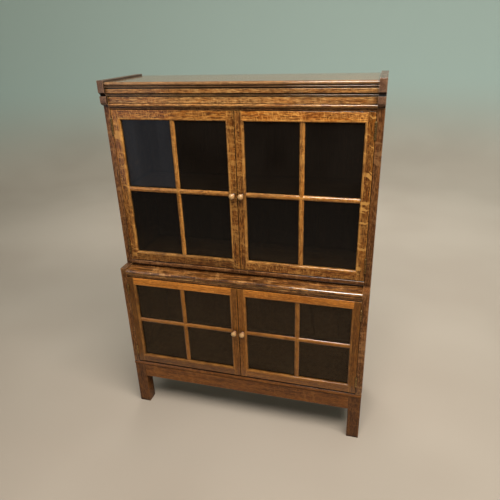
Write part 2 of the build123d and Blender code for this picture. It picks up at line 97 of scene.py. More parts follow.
# ---- Hinges: half length with the tips, and distance of the middle from the door's end ----
HINGES = {"upper": (27.4 * MM, 54 * MM), "lower": (21.4 * MM, 50 * MM)}
PIN_PROUD = 1.5 * MM
BARREL_POCKET = 3.45 * MM
POCKET_SIDES = 32

# ---- Mouldings: outlines in millimetres, as (forward of the back, up), for section() ----
FRAME_FRONT_BACK = 242           # back edge of the plinth frame's front board
FRAME_FRONT_OUTLINE = (
    (FRAME_FRONT_BACK, 0), (300.5, 0, 0), (300.5, 2.5, 0), ((303.6, 3.0), (304, 4.5)),
    (304, 8), (299, 14), (FRAME_FRONT_BACK, 14, 0),
)
LEDGE_OUTLINE = (
    (0, 0), (301, 0), (301, 6, 0), (298, 7, 0), (298, 8, 0), ((302.6, 9.2), (304, 13)),
    ((302, 17), (298.5, 20)), (0, 20),
)
UPPER_BOTTOM_OUTLINE = (
    (0, 0), (244, 0), ((248.24, 1.76), (250, 6)), (250, 14, 0),
    ((248.24, 18.24), (244, 20)), (0, 20),
)
CROWN_END_OUTLINE = (
    (0, 0), (250, 0), (250, 5, 0), ((261, 8.5), (266, 15)), (266, 34, 1), (259, 35, 0),
    ((264, 42), (270, 46)), (270, 83, 2.5), (0, 83),
)
CROWN_TOP_OUTLINE = ((0, 0), (259.5, 0, 0), (259.5, 1, 0), ((265, 6.5), (259.5, 12)), (0, 12))
FASCIA_OUTLINE = (
    (0, 0), (16, 0), (16, 3, 0), (19, 3, 0), ((22, 5), (19, 7)), (19, 8.5, 0), (25, 12, 0.8),
    (25, 23.5, 0.6), (24, 24.5, 0), (20, 24.5, 0), (20, 27.5, 0), (24, 27.5, 0),
    ((26.5, 30), (24, 32.5)), (20, 33, 0), (0, 33),
)
FRIEZE_OUTLINE = (
    (0, 0), (16, 0), (16, 2, 0), ((20.5, 6.8), (16.5, 11.5)), (16.5, 13, 0), (18, 13, 0.4),
    (18, 32, 0.4), (0, 32),
)
END_RECESS = (34 * MM, 46 * MM)  # heights of the hollow across the crown's ends, painted dark as shade
FASCIA_FLAT = (9.2 * MM, 23.9 * MM)  # heights of the fascia's flat face; its beads and grooves above and below are painted darker, as shade under the nose with dark stain

# ---- Boards are no two alike. Tone: 0 is dark, 1 light, and a few boards go past either ----
FASCIA_TONE = 0.42
FRIEZE_TONE = 0.66
LEDGE_TONE = 0.36
LEG_TONE = 0.18
END_TONE = 0.26
SIDE_TONES = {"lower_left": 0.22, "lower_right": 0.34, "upper_left": 0.26, "upper_right": 0.05}
OTHER_TONES = (0.3, 0.7)         # any other board draws its tone from this range
CROWN_FIGURE = 0.25              # strength of the ray figure, of which 1 is the usual
LIP_RUB_AND_HIGHLIGHT = 0.35                   # how pale the lips are painted: dusting's wear, and a painted highlight
# how pale the bars are painted: wear, and a painted highlight
BAR_RUB_AND_HIGHLIGHT = 0.25

# ---- The doors' boards: tone and strength of the ray figure ----
# Top rails are toned lighter than bottom rails, and the lower doors' top rails, under the ledge, far
# lighter still: painted light that falls off downwards, on top of each board's own tone.
DOOR_BOARDS = {
    "upper_left": {
        "outer": (0.28, 0.7), "meeting": (0.10, 0.5), "top": (0.40, 0.1), "bottom": (-0.12, 0.2),
        "bars": (0.36, 0.0),
    },
    "upper_right": {
        "outer": (0.10, 1.5), "meeting": (0.10, 0.5), "top": (0.74, 0.1), "bottom": (0.36, 0.2),
        "bars": (0.48, 0.0),
    },
    "lower_left": {
        "outer": (-0.10, 0.2), "meeting": (0.20, 0.2), "top": (1.95, 0.2), "bottom": (0.12, 0.1),
        "bars": (0.30, 0.0),
    },
    "lower_right": {
        "outer": (0.06, 0.2), "meeting": (0.38, 0.2), "top": (1.70, 0.2), "bottom": (0.24, 0.1),
        "bars": (0.38, 0.0),
    },
}

# ---- Oak's marks: how many to a metre along the board, across it and through it ----
WANDER = (1.6, 9, 9)
BROAD_BANDS = (2.6, 42, 42)
CLOUDS = (14, 36, 36)
LINES = (9, 300, 300)
DASHES = (60, 360, 360)
PORES = (70, 1900, 1900)
LARGE_FLECKS = (75, 12, 12)
SMALL_FLECKS = (300, 60, 40)
FLECK_BENDS = (10, 60, 40)
FLECK_PATCHES = (9, 14, 14)
BROKEN_FINISH = (16, 120, 120)
RUBBED_PATCHES = (26, 60, 60)
GLOSS_PATCHES = (14, 40, 40)
WANDER_REACH = 0.016             # how far a line of grain strays, in metres
TONE_SHADE = (0.70, 0.55)        # slope of brightness with tone, and brightness at tone 0
# strength of the painted shade in corners and grooves
CORNER_SHADE = 0.96
CORNER_SHADE_REACH = 0.024              # how far the painted shade spreads out of a corner
WEAR_REACH = 0.0025              # how far wear spreads in from an edge
OCCLUSION_SAMPLES = 8

# ---- Studio ----
BOWL_MIDDLE = 1.2                # radius of the floor's innermost ring
BOWL_LEVEL = 3.4                 # radius of its level part
BOWL_CURVE = 2.4                 # radius of its turn upwards
BOWL_WALL = 1.4                  # upright part above the turn
BOWL_STEPS = 12
BOWL_SIDES = 96
CARD_HALF = 3.0                  # half the width of the two reflection cards
CARD_FAR = -2.9                  # where the upright card stands and the flat one ends
CARD_NEAR = -0.42                # the flat card's edge by the object
CARD_HIGH = 3.0
CARD_LIFT = 0.002                # keeps the flat card off the floor
PALE_PANEL = (-1.50, -1.58)      # where the upright glowing card turns from brown to the pale panel of its painted reflection
LIGHTS = {
    # name: place, aim, size, watts, colour, seen in gloss
    "key": ((0.75, -1.05, 2.50), (0.05, -0.1, 0.85), (2.2, 0.5), 83, (1.0, 0.97, 0.92), True),
    "fill": ((-2.2, -2.0, 2.2), (0.0, 0.0, 0.6), (2.4, 2.0), 7, (0.95, 0.98, 1.0), True),
    "rear": ((-0.9, 2.5, 2.5), (0.0, 0.1, 0.7), (1.8, 1.4), 26, (1.0, 1.0, 1.0), False),
    "wall_wash": ((0.6, 1.4, 3.2), (0.8, 5.4, 0.6), (4.0, 1.2), 108, (0.97, 1.0, 0.98), True),
}
AIR_COLOUR = (0.80, 0.90, 0.84, 1.0)
AIR_STRENGTH = 0.20

# ---- Camera: metres, degrees, and millimetres of lens and sensor ----
CAMERA_PLACE = (0.4504, -1.505, 1.372)
CAMERA_YAW = 16.256
CAMERA_PITCH = -24.262
CAMERA_ROLL = -1.932
CAMERA_LENS = 34.084
CAMERA_SENSOR = 36.0


# ---------------------------------------------------------------- sections and prisms

def arc(start, via, end):
    """Points after start on the arc through three points, the last one being end."""
    ax, ay = start
    bx, by = via
    cx, cy = end
    d = 2 * (ax * (by - cy) + bx * (cy - ay) + cx * (ay - by))
    a2, b2, c2 = ax * ax + ay * ay, bx * bx + by * by, cx * cx + cy * cy
    ox = (a2 * (by - cy) + b2 * (cy - ay) + c2 * (ay - by)) / d
    oy = (a2 * (cx - bx) + b2 * (ax - cx) + c2 * (bx - ax)) / d
    radius = math.hypot(ax - ox, ay - oy)
    first = math.atan2(ay - oy, ax - ox)
    middle = math.atan2(by - oy, bx - ox)
    last = math.atan2(cy - oy, cx - ox)
    turn = (last - first) % math.tau
    if (middle - first) % math.tau > turn:
        turn -= math.tau
    angles = [first + turn * i / ARC_STEPS for i in range(1, ARC_STEPS)]
    points = [(ox + radius * math.cos(t), oy + radius * math.sin(t)) for t in angles]
    return points + [tuple(end)]


def rounded_corner(before, corner, after, radius):
    """Points of a softened corner between two straight edges."""
    corner = Vector(corner)
    back = Vector(before) - corner
    on = Vector(after) - corner
    reach = min(radius, ARRIS_SHARE * back.length, ARRIS_SHARE * on.length)
    if reach < TINY:
        return [corner]
    first = corner + back.normalized() * reach
    last = corner + on.normalized() * reach
    points = []
    for i in range(ARRIS_STEPS + 1):
        t = i / ARRIS_STEPS
        points.append(first * (1 - t) ** 2 + corner * 2 * t * (1 - t) + last * t * t)
    return points


def section(*steps):
    """Closed outline in metres from steps in millimetres.

    A step is a corner, a corner with its own radius, or an arc as (via, end).
    """
    corners = []
    for step in steps:
        if isinstance(step[0], tuple):
            corners[-1] = (corners[-1][0], 0.0)
            corners += [(point, 0.0) for point in arc(corners[-1][0], *step)]
        else:
            radius = step[2] if len(step) > 2 else ARRIS / MM
            corners.append((step[:2], radius))
    points = []
    for i, (corner, radius) in enumerate(corners):
        before = corners[i - 1][0]
        after = corners[(i + 1) % len(corners)][0]
        points += rounded_corner(before, corner, after, radius)
    points = [point * MM for point in points]
    area = sum(a.x * b.y - b.x * a.y for a, b in zip(points, points[1:] + points[:1]))
    return points if area > 0 else points[::-1]


def inset(points, distance):
    """The same outline, moved inwards all round."""
    if not distance:
        return points
    moved = []
    for i, point in enumerate(points):
        back = (point - points[i - 1]).normalized()
        on = (points[(i + 1) % len(points)] - point).normalized()
        normal = Vector((-back.y - on.y, back.x + on.x))
        if normal.length < TINY:
            moved.append(point.copy())
            continue
        normal.normalize()
        spread = max(LEAST_SPREAD, normal.dot(Vector((-back.y, back.x))))
        moved.append(point + normal * distance / spread)
    return moved


def prism(outline, place, low, high, soft=FINE_ARRIS, trim=None):
    """Board with this section between two stations. place(a, b, s) gives the point in the frame."""
    board = bmesh.new()
    ends = [(0.0, 0.0)]
    if soft:
        turns = [math.pi / 2 * i / ARRIS_STEPS for i in range(ARRIS_STEPS + 1)]
        ends = [(soft * (1 - math.sin(t)), soft * (1 - math.cos(t))) for t in turns]
    stations = [(shrink, low + rise, 1) for shrink, rise in ends]
    stations += [(shrink, high - rise, -1) for shrink, rise in reversed(ends)]
    rings = []
    for shrink, station, side in stations:
        ring = []
        for a, b in inset(outline, shrink):
            cut = side * trim(a, b) if trim else 0.0
            ring.append(board.verts.new(place(a, b, station + cut)))
        rings.append(ring)
    count = len(outline)
    for lower, upper in zip(rings, rings[1:]):
        for i in range(count):
            j = (i + 1) % count
            board.faces.new((lower[i], lower[j], upper[j], upper[i]))
    board.faces.new(rings[0][::-1])
    board.faces.new(rings[-1])
    bmesh.ops.remove_doubles(board, verts=board.verts, dist=TINY / 10)
    bmesh.ops.recalc_face_normals(board, faces=board.faces)
    return board


def rectangle(low, high, soft, sharp):
    """Rectangular outline in metres. sharp lists the corners left square, counted from the low one."""
    corners = [(low[0], low[1]), (high[0], low[1]), (high[0], high[1]), (low[0], high[1])]
    radii = [0.0 if i in sharp else soft / MM for i in range(4)]
    return section(*[(a / MM, b / MM, r) for (a, b), r in zip(corners, radii)])


def plank(low, high, along, soft=ARRIS, sharp=()):
    """Board between two corners, its length running along X, Y or Z."""
    if along is X:
        outline = rectangle((low.y, low.z), (high.y, high.z), soft, sharp)
        return prism(outline, lambda a, b, s: Vector((s, a, b)), low.x, high.x)
    if along is Y:
        outline = rectangle((low.x, low.z), (high.x, high.z), soft, sharp)
        return prism(outline, lambda a, b, s: Vector((a, s, b)), low.y, high.y)
    outline = rectangle((low.x, low.y), (high.x, high.y), soft, sharp)
    return prism(outline, lambda a, b, s: Vector((a, b, s)), low.z, high.z)


def moulding(node, outline):
    """Moulding along X, from end to end of a node's box and measured from its back and foot."""
    low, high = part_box(node)
    profile = section(*outline)
    return prism(profile, lambda a, b, s: Vector((s, high.y - a, low.z + b)), low.x, high.x)


def mesh_object(bm, name):
    mesh = bpy.data.meshes.new(name)
    bm.to_mesh(mesh)
    obj = bpy.data.objects.new(name, mesh)
    bpy.context.scene.collection.objects.link(obj)
    return obj


def pocketed(board, axes):
    """Board with an upright round pocket cut at each (x, y, low z, high z)."""
    cutter = bmesh.new()
    for x, y, low, high in axes:
        middle = Matrix.Translation((x, y, (low + high) / 2))
        bmesh.ops.create_cone(
            cutter, cap_ends=True, segments=POCKET_SIDES, radius1=BARREL_POCKET,
            radius2=BARREL_POCKET, depth=high - low, matrix=middle,
        )
    wood = mesh_object(board, "wood_blank")
    tool = mesh_object(cutter, "pocket_cutter")
    cut = wood.modifiers.new("pocket", "BOOLEAN")
    cut.operation = "DIFFERENCE"
    cut.solver = "EXACT"
    cut.object = tool
    bpy.context.view_layer.update()
    result = wood.evaluated_get(bpy.context.evaluated_depsgraph_get())
    board.clear()
    board.from_mesh(result.data)
    bpy.data.objects.remove(wood)
    bpy.data.objects.remove(tool)
    return board


# ---------------------------------------------------------------- pieces

class Piece:
    """One shown object: boards in one mesh, each with its own grain coordinates and tone, with marks
    for wear with painted highlight and for stain with painted shade.
    """

    def __init__(self, node, body, slot):
        self.node = node
        self.body = body
        self.slot = slot
        self.bm = bmesh.new()
        self.grain = self.bm.verts.layers.float_vector.new("grain")
        self.tone = self.bm.verts.layers.float.new("tone")
        self.figure = self.bm.verts.layers.float.new("figure")
        self.stain_and_shade = self.bm.verts.layers.float.new("stain_and_shade")
        self.rub_and_highlight = self.bm.verts.layers.float.new("rub_and_highlight")
        self.draw = random.Random(node)

    def add(self, board, along, across, tone=None, figure=1.0, rub_and_highlight=0.0):
        """Adds a board whose grain runs along one axis; across lies in its wide face."""
        shift = Vector([self.draw.uniform(1, 9) for _ in range(3)])
        if tone is None:
            tone = self.draw.uniform(*OTHER_TONES)
        thick = along.cross(across)
        verts = {}
        for v in board.verts:
            new = self.bm.verts.new(v.co)
            new[self.grain] = Vector((v.co.dot(along), v.co.dot(across), v.co.dot(thick))) + shift
            new[self.tone] = tone
            new[self.figure] = figure
            new[self.rub_and_highlight] = rub_and_highlight
            verts[v] = new
        for face in board.faces:
            self.bm.faces.new([verts[v] for v in face.verts])
        board.free()
        return self

    def darken(self, low, high, inside=True):
        """Marks the part between two heights, or outside them, to be painted darker: shade in a hollow
        or under an overhang, and dark stain.
        """
        for v in self.bm.verts:
            if (low < v.co.z < high) == inside:
                v[self.stain_and_shade] = 1.0
        return self

    def finish(self, material):
        """Makes the object, shaded smooth with crisp arrises, parents it to its body's empty and hides
        the imported part it replaces.
        """
        for face in self.bm.faces:
            face.smooth = True
        obj = mesh_object(self.bm, f"oak_{self.node}")
        self.bm.free()
        obj.data.set_sharp_from_angle(angle=math.radians(SHARP_ANGLE))
        even = obj.modifiers.new("even_normals", "WEIGHTED_NORMAL")
        even.keep_sharp = True
        obj.data.materials.append(material)
        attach(obj, self.body)
        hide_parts(self.node)


# ---------------------------------------------------------------- materials

class Graph:
    """Short names for building a material's nodes."""

    def __init__(self, name):
        self.material = bpy.data.materials.new(name)
        self.material.use_nodes = True
        self.tree = self.material.node_tree
        self.tree.nodes.clear()
        self.output = self.tree.nodes.new("ShaderNodeOutputMaterial")

    def put(self, socket, value):
        """Links the value if it comes from another node, and sets it otherwise."""
        if isinstance(value, bpy.types.NodeSocket):
            self.tree.links.new(value, socket)
        elif hasattr(value, "__len__") and len(value) == 3 and socket.type == "RGBA":
            socket.default_value = (*value, 1.0)
        else:
            socket.default_value = value

    def attribute(self, name, output):
        node = self.tree.nodes.new("ShaderNodeAttribute")
        node.attribute_name = name
        return node.outputs[output]

    def rest_place(self):
        """Place in the object's own coordinates, which go with it at every pose."""
        return self.tree.nodes.new("ShaderNodeTexCoord").outputs["Object"]

    def maths(self, operation, a, b=0.0, c=0.0):
        node = self.tree.nodes.new("ShaderNodeMath")
        node.operation = operation
        for socket, value in zip(node.inputs, (a, b, c)):
            self.put(socket, value)
        return node.outputs[0]

    def vector(self, operation, a, b):
        node = self.tree.nodes.new("ShaderNodeVectorMath")
        node.operation = operation
        self.put(node.inputs[0], a)
        self.put(node.inputs[1], b)
        return node.outputs[0]

    def split(self, vector):
        node = self.tree.nodes.new("ShaderNodeSeparateXYZ")
        self.put(node.inputs[0], vector)
        return node.outputs

    def join(self, x, y, z):
        node = self.tree.nodes.new("ShaderNodeCombineXYZ")
        for socket, value in zip(node.inputs, (x, y, z)):
            self.put(socket, value)
        return node.outputs[0]

    def noise(self, vector, stretch, detail=2.0, roughness=0.5):
        """Noise whose scale differs by axis: stretch is in features per metre."""
        node = self.tree.nodes.new("ShaderNodeTexNoise")
        self.put(node.inputs["Vector"], self.vector("MULTIPLY", vector, stretch))
        node.inputs["Scale"].default_value = 1.0
        node.inputs["Detail"].default_value = detail
        node.inputs["Roughness"].default_value = roughness
        return node.outputs[0]

    def band(self, value, low, high, to_low=0.0, to_high=1.0):
        """Smooth change from to_low to to_high while the value goes from low to high."""
        node = self.tree.nodes.new("ShaderNodeMapRange")
        node.interpolation_type = "SMOOTHSTEP"
        for socket, v in zip(node.inputs, (value, low, high, to_low, to_high)):
            self.put(socket, v)
        return node.outputs[0]

    def mix(self, amount, a, b, blend="MIX"):
        node = self.tree.nodes.new("ShaderNodeMix")
        node.data_type = "RGBA"
        node.blend_type = blend
        self.put(node.inputs[0], amount)
        self.put(node.inputs[6], a)
        self.put(node.inputs[7], b)
        return node.outputs[2]

    def occlusion(self, distance, inside=False):
        node = self.tree.nodes.new("ShaderNodeAmbientOcclusion")
        node.samples = OCCLUSION_SAMPLES
        node.inside = inside
        node.only_local = inside
        node.inputs["Distance"].default_value = distance
        return node.outputs["AO"]

    def bump(self, height, distance, strength):
        node = self.tree.nodes.new("ShaderNodeBump")
        node.inputs["Distance"].default_value = distance
        node.inputs["Strength"].default_value = strength
        self.put(node.inputs["Height"], height)
        return node.outputs[0]

    def shader(self, colour, roughness, normal=None, **settings):
        node = self.tree.nodes.new("ShaderNodeBsdfPrincipled")
        self.put(node.inputs["Base Color"], colour)
        self.put(node.inputs["Roughness"], roughness)
        if normal is not None:
            self.put(node.inputs["Normal"], normal)
        for name, value in settings.items():
            node.inputs[name.replace("_", " ")].default_value = value
        return node.outputs[0]

    def show(self, surface):
        self.put(self.output.inputs["Surface"], surface)
        return self.material


def scaled(colour, by):
    return tuple(c * by for c in colour)


def wavy_grain(g, grain):
    """Grain coordinates that stray a little, so that no line runs dead straight."""
    wander = g.noise(grain, WANDER, 2.0)
    along, across, deep = g.split(grain)
    return g.join(
        along,
        g.maths("MULTIPLY_ADD", wander, WANDER_REACH, across),
        g.maths("MULTIPLY_ADD", wander, WANDER_REACH, deep),
    )


def growth(g, grain, wavy, lines, colours, contrast):
    """Colour of the plain wood: broad bands, clouds, dark lines and dashes."""
    light, dark, fleck = colours
    deep_brown = scaled(dark, 0.30)
    broad = g.noise(wavy, BROAD_BANDS, 3.0)
    cloud = g.noise(grain, CLOUDS, 3.0, 0.6)
    dashes = g.noise(wavy, DASHES, 2.0, 0.6)
    colour = g.mix(g.band(broad, 0.32, 0.68), dark, light)
    colour = g.mix(g.band(cloud, 0.38, 0.66, 0.0, 0.55 * contrast), colour, g.mix(0.45, dark, fleck))
    colour = g.mix(g.band(lines, 0.48, 0.62, 0.0, 0.78 * contrast), colour, deep_brown)
    colour = g.mix(g.band(dashes, 0.51, 0.62, 0.0, 0.78 * contrast), colour, deep_brown)
    return g.mix(g.band(dashes, 0.45, 0.33, 0.0, 0.60 * contrast), colour, fleck)


def flecks(g, grain, slant, sway, stretch, cover, mask):
    """Ray flecks: pale streaks that cross the grain, leaning and swaying, in patches."""
    along, across, deep = g.split(grain)
    bend = g.noise(grain, FLECK_BENDS, 1.0)
    pushed = g.maths("MULTIPLY_ADD", bend, sway, along)
    leaning = g.maths("MULTIPLY_ADD", across, slant, pushed)
    field = g.noise(g.join(leaning, across, deep), stretch, 1.0)
    streak = g.band(field, cover, cover + 0.05)
    patch = g.band(g.noise(grain, FLECK_PATCHES, 1.0), mask - 0.08, mask + 0.08)
    return g.maths("MULTIPLY", streak, patch)


def ray_figure(g, grain, mask):
    """Large flecks, as strong as the board's figure says, and faint small ones between them."""
    large = flecks(g, grain, 0.25, 0.020, LARGE_FLECKS, 0.585, mask - 0.04)
    large = g.maths("MULTIPLY", large, g.attribute("figure", "Fac"))
    small = flecks(g, grain, 0.10, 0.006, SMALL_FLECKS, 0.57, mask + 0.02)
    return g.maths("MAXIMUM", large, g.maths("MULTIPLY", small, 0.45))


def toned(g, colour):
    """Each board's own shade."""
    shade = g.maths("MULTIPLY_ADD", g.attribute("tone", "Fac"), *TONE_SHADE)
    return g.mix(1.0, colour, g.join(shade, shade, shade), "MULTIPLY")


def stained_and_shaded(g, colour, dark):
    """Darker colour where the piece is marked, which is painted shade in the crown ends' hollow and on
    the fascia's beads and grooves, there with dark stain; and painted shade in every corner and
    groove, where shade falls.
    """
    stain_and_shade = g.attribute("stain_and_shade", "Fac")
    # painted shade in the marked hollows, with dark stain on the fascia's beads
    colour = g.mix(g.maths("MULTIPLY", stain_and_shade, 0.88), colour, scaled(dark, 0.2))
    # painted shade: darker where nearby surfaces hem the point in, as in corners, grooves and under
    # overhangs
    darker_in_hollows = g.band(g.occlusion(CORNER_SHADE_REACH), 0.42, 0.90, CORNER_SHADE, 0.0)
    return g.mix(darker_in_hollows, colour, scaled(dark, 0.08))


def rubbed_and_highlighted(g, grain, colour, fleck, wear):
    """Edges paled by wear, and lips and bars paler still, part wear and part painted highlight, in
    patches.
    """
    edges = g.band(g.occlusion(WEAR_REACH, inside=True), 0.95, 0.6, 0.0, wear)
    worn_and_highlit = g.maths("MAXIMUM", edges, g.attribute("rub_and_highlight", "Fac"))
    patches = g.band(g.noise(grain, RUBBED_PATCHES, 3.0), 0.35, 0.65, 0.2, 1.0)
    return g.mix(g.maths("MULTIPLY", worn_and_highlit, patches), colour, fleck)


def oak(name, light, dark, fleck, fleck_amount=0.85, fleck_mask=0.46, wear=0.55, roughness=0.42,
        coat=1.0, worn_finish=0.0, contrast=1.0, coat_ior=1.6):
    """Quarter-sawn oak with a wax finish. worn_finish is how far use has broken the finish up."""
    g = Graph(name)
    grain = g.attribute("grain", "Vector")
    wavy = wavy_grain(g, grain)
    lines = g.noise(wavy, LINES, 3.0, 0.6)
    pores = g.band(g.noise(wavy, PORES, 2.0, 0.6), 0.60, 0.72, 0.0, 0.65)
    rays = ray_figure(g, grain, fleck_mask)
    colour = growth(g, grain, wavy, lines, (light, dark, fleck), contrast)
    colour = g.mix(g.maths("MULTIPLY", rays, fleck_amount), colour, fleck)
    colour = g.mix(pores, colour, scaled(dark, 0.3))
    height = g.maths("MULTIPLY_ADD", lines, -0.35, g.maths("MULTIPLY", rays, 0.25))
    height = g.maths("SUBTRACT", height, g.maths("MULTIPLY", pores, 0.8))
    if worn_finish:
        broken = g.noise(grain, BROKEN_FINISH, 4.0, 0.65)
        colour = g.mix(g.band(broken, 0.47, 0.57, 0.0, worn_finish), colour, scaled(dark, 0.30))
        colour = g.mix(g.band(broken, 0.42, 0.32, 0.0, worn_finish), colour, fleck)
        height = g.maths("MULTIPLY_ADD", broken, 3.0 * worn_finish, height)
    colour = toned(g, colour)
    colour = stained_and_shaded(g, colour, dark)
    colour = rubbed_and_highlighted(g, grain, colour, fleck, wear)
    gloss = g.noise(grain, GLOSS_PATCHES, 3.0)
    rough = g.band(gloss, 0.3, 0.7, roughness - 0.06, roughness + 0.12)
    rough = g.maths("MULTIPLY_ADD", pores, 0.2, rough)
    normal = g.bump(height, 0.00035, 0.5)
    surface = g.shader(
        colour, rough, normal, Specular_IOR_Level=0.12, Coat_Weight=coat, Coat_Roughness=0.12,
        Coat_IOR=coat_ior,
    )
    return g.show(surface)


def turned_oak(name, light, dark, pale):
    """A knob's wood: grain end-on, paled on the face by the touch of hands."""
    g = Graph(name)
    grain = g.attribute("grain", "Vector")
    rings = g.noise(grain, (90, 500, 500), 3.0, 0.6)
    colour = g.mix(g.band(rings, 0.35, 0.65), dark, light)
    face = g.attribute("tone", "Fac")
    patchy = g.band(g.noise(grain, (150, 150, 150), 3.0), 0.3, 0.65, 0.5, 1.0)
    colour = g.mix(g.maths("MULTIPLY", face, patchy), colour, pale)
    # darker in the knob's hollows and where it meets the door
    darker_in_hollows = g.band(g.occlusion(0.010), 0.25, 0.9, 0.8, 0.0)
    colour = g.mix(darker_in_hollows, colour, scaled(dark, 0.12))
    rough = g.band(rings, 0.3, 0.7, 0.24, 0.38)
    normal = g.bump(rings, 0.0002, 0.4)
    return g.show(g.shader(colour, rough, normal, Coat_Weight=0.3, Coat_Roughness=0.12))


def aged_brass():
    g = Graph("aged_brass")
    place = g.rest_place()
    tarnish = g.noise(place, (240, 240, 240), 4.0, 0.6)
    colour = g.mix(g.band(tarnish, 0.35, 0.68), (0.50, 0.33, 0.13), (0.10, 0.065, 0.03))
    darker_in_hollows = g.band(g.occlusion(0.004), 0.3, 0.9, 0.85, 0.0)
    colour = g.mix(darker_in_hollows, colour, (0.012, 0.008, 0.005))
    rough = g.band(tarnish, 0.3, 0.7, 0.28, 0.6)
    scratches = g.noise(place, (2500, 2500, 400), 2.0)
    normal = g.bump(scratches, 0.0001, 0.5)
    return g.show(g.shader(colour, rough, normal, Metallic=1.0))


def dimmed_glass():
    """Panes that mirror a little and let under half the light through to the shelves; the rest is a
    near-black glossy face, painted shade over the inside.
    """
    g = Graph("dimmed_glass")
    place = g.rest_place()
    waves = g.noise(place, (9, 9, 5), 2.0)
    smears = g.noise(place, (30, 30, 12), 4.0, 0.6)
    normal = g.bump(waves, 0.002, 0.25)
    rough = g.band(smears, 0.45, 0.75, 0.01, 0.07)
    # near-black glossy face for half of each pane: painted shade over the shelves behind, and the
    # pane's reflection
    face = g.shader((0.008, 0.006, 0.005), rough, normal, IOR=1.75)
    clear = g.tree.nodes.new("ShaderNodeBsdfTransparent")
    clear.inputs["Color"].default_value = (0.90, 0.95, 0.92, 1.0)
    blend = g.tree.nodes.new("ShaderNodeMixShader")
    blend.inputs[0].default_value = 0.5
    g.put(blend.inputs[1], clear.outputs[0])
    g.put(blend.inputs[2], face)
    return g.show(blend.outputs[0])


def plain_floor():
    """Pale warm floor that turns to a pale grey green where it curves up."""
    g = Graph("pale_floor")
    place = g.rest_place()
    drift = g.noise(place, (1.2, 1.2, 1.2), 2.0)
    fine = g.noise(place, (260, 260, 260), 3.0)
    colour = g.mix(g.band(drift, 0.3, 0.7), (0.42, 0.345, 0.275), (0.46, 0.385, 0.31))
    height = g.split(place)[2]
    colour = g.mix(g.band(height, 0.0, 0.9), colour, (0.42, 0.50, 0.44))
    normal = g.bump(fine, 0.0006, 0.3)
    return g.show(g.shader(colour, 0.8, normal))


def glowing_room_card():
    """Glowing card, a painted reflection of a dark room with a pale panel on its left, for the panes
    to mirror.
    """
    g = Graph("glowing_room_card")
    place = g.rest_place()
    across = g.split(place)[0]
    folds = g.noise(place, (9, 1, 0.6), 2.0)
    pale = g.mix(g.band(folds, 0.3, 0.7), (0.26, 0.27, 0.31), (0.40, 0.41, 0.46))
    drift = g.noise(place, (3, 1, 2), 2.0)
    brown = g.mix(g.band(drift, 0.3, 0.7), (0.05, 0.03, 0.015), (0.13, 0.09, 0.06))
    colour = g.mix(g.band(across, *PALE_PANEL), brown, pale)
    glow = g.tree.nodes.new("ShaderNodeEmission")
    g.put(glow.inputs["Color"], colour)
    return g.show(glow.outputs[0])


def warm_card():
    """Brown floor for the panes to mirror, painted darker further off as shade."""
    g = Graph("warm_card")
    place = g.rest_place()
    depth = g.split(place)[1]
    weave = g.noise(place, (60, 35, 1), 2.0)
    near = g.mix(g.band(weave, 0.3, 0.7), (0.28, 0.15, 0.065), (0.46, 0.28, 0.14))
    colour = g.mix(g.band(depth, -0.7, -1.9), near, (0.10, 0.075, 0.055))
    return g.show(g.shader(colour, 0.9))


DOOR_OAK = oak("door_oak", (0.47, 0.152, 0.016), (0.19, 0.047, 0.004), (0.72, 0.34, 0.08),
               fleck_amount=0.95)
LOW_DOOR_OAK = oak("low_door_oak", (0.35, 0.115, 0.013), (0.19, 0.056, 0.006), (0.50, 0.21, 0.04),
                   fleck_amount=0.35, fleck_mask=0.53, contrast=0.6, coat_ior=1.5)
CASE_OAK = oak("case_oak", (0.30, 0.105, 0.025), (0.14, 0.043, 0.011), (0.46, 0.22, 0.08),
               fleck_amount=0.4, fleck_mask=0.52, coat=0.6, coat_ior=1.5)
END_OAK = oak("end_grain_oak", (0.24, 0.115, 0.060), (0.12, 0.055, 0.029), (0.34, 0.19, 0.11),
              fleck_amount=0.2, coat=0.6, contrast=0.6)
CROWN_OAK = oak("crown_oak", (0.45, 0.175, 0.036), (0.21, 0.068, 0.013), (0.66, 0.37, 0.13),
                fleck_amount=0.5, fleck_mask=0.48)
TOP_OAK = oak("top_oak", (0.40, 0.185, 0.062), (0.26, 0.112, 0.038), (0.54, 0.30, 0.12),
              fleck_amount=0.35, worn_finish=0.2, contrast=0.55, coat_ior=1.7)
LEDGE_OAK = oak("ledge_oak", (0.44, 0.145, 0.017), (0.15, 0.040, 0.005), (0.66, 0.32, 0.10),
                fleck_amount=0.5, wear=0.95, worn_finish=0.8, roughness=0.34, coat_ior=1.8)
DARK_OAK = oak("dark_oak", (0.22, 0.070, 0.010), (0.115, 0.033, 0.005), (0.32, 0.12, 0.025),
               fleck_amount=0.3, fleck_mask=0.54, coat=0.4, contrast=0.7, coat_ior=1.5)
# The inner boards' oak is much darker than the case's: painted shade for the closed inside seen
# through the glass.
DARKENED_INNER_OAK = oak("inner_oak", (0.15, 0.064, 0.024), (0.070, 0.028, 0.010), (0.20, 0.10, 0.04),
                fleck_amount=0.3, wear=0.1, roughness=0.6, coat=0.0)
KNOB_WOOD = turned_oak("knob_wood", (0.34, 0.14, 0.04), (0.17, 0.06, 0.016), (0.60, 0.36, 0.15))
BRASS = aged_brass()
GLASS = dimmed_glass()


# ---------------------------------------------------------------- plinth

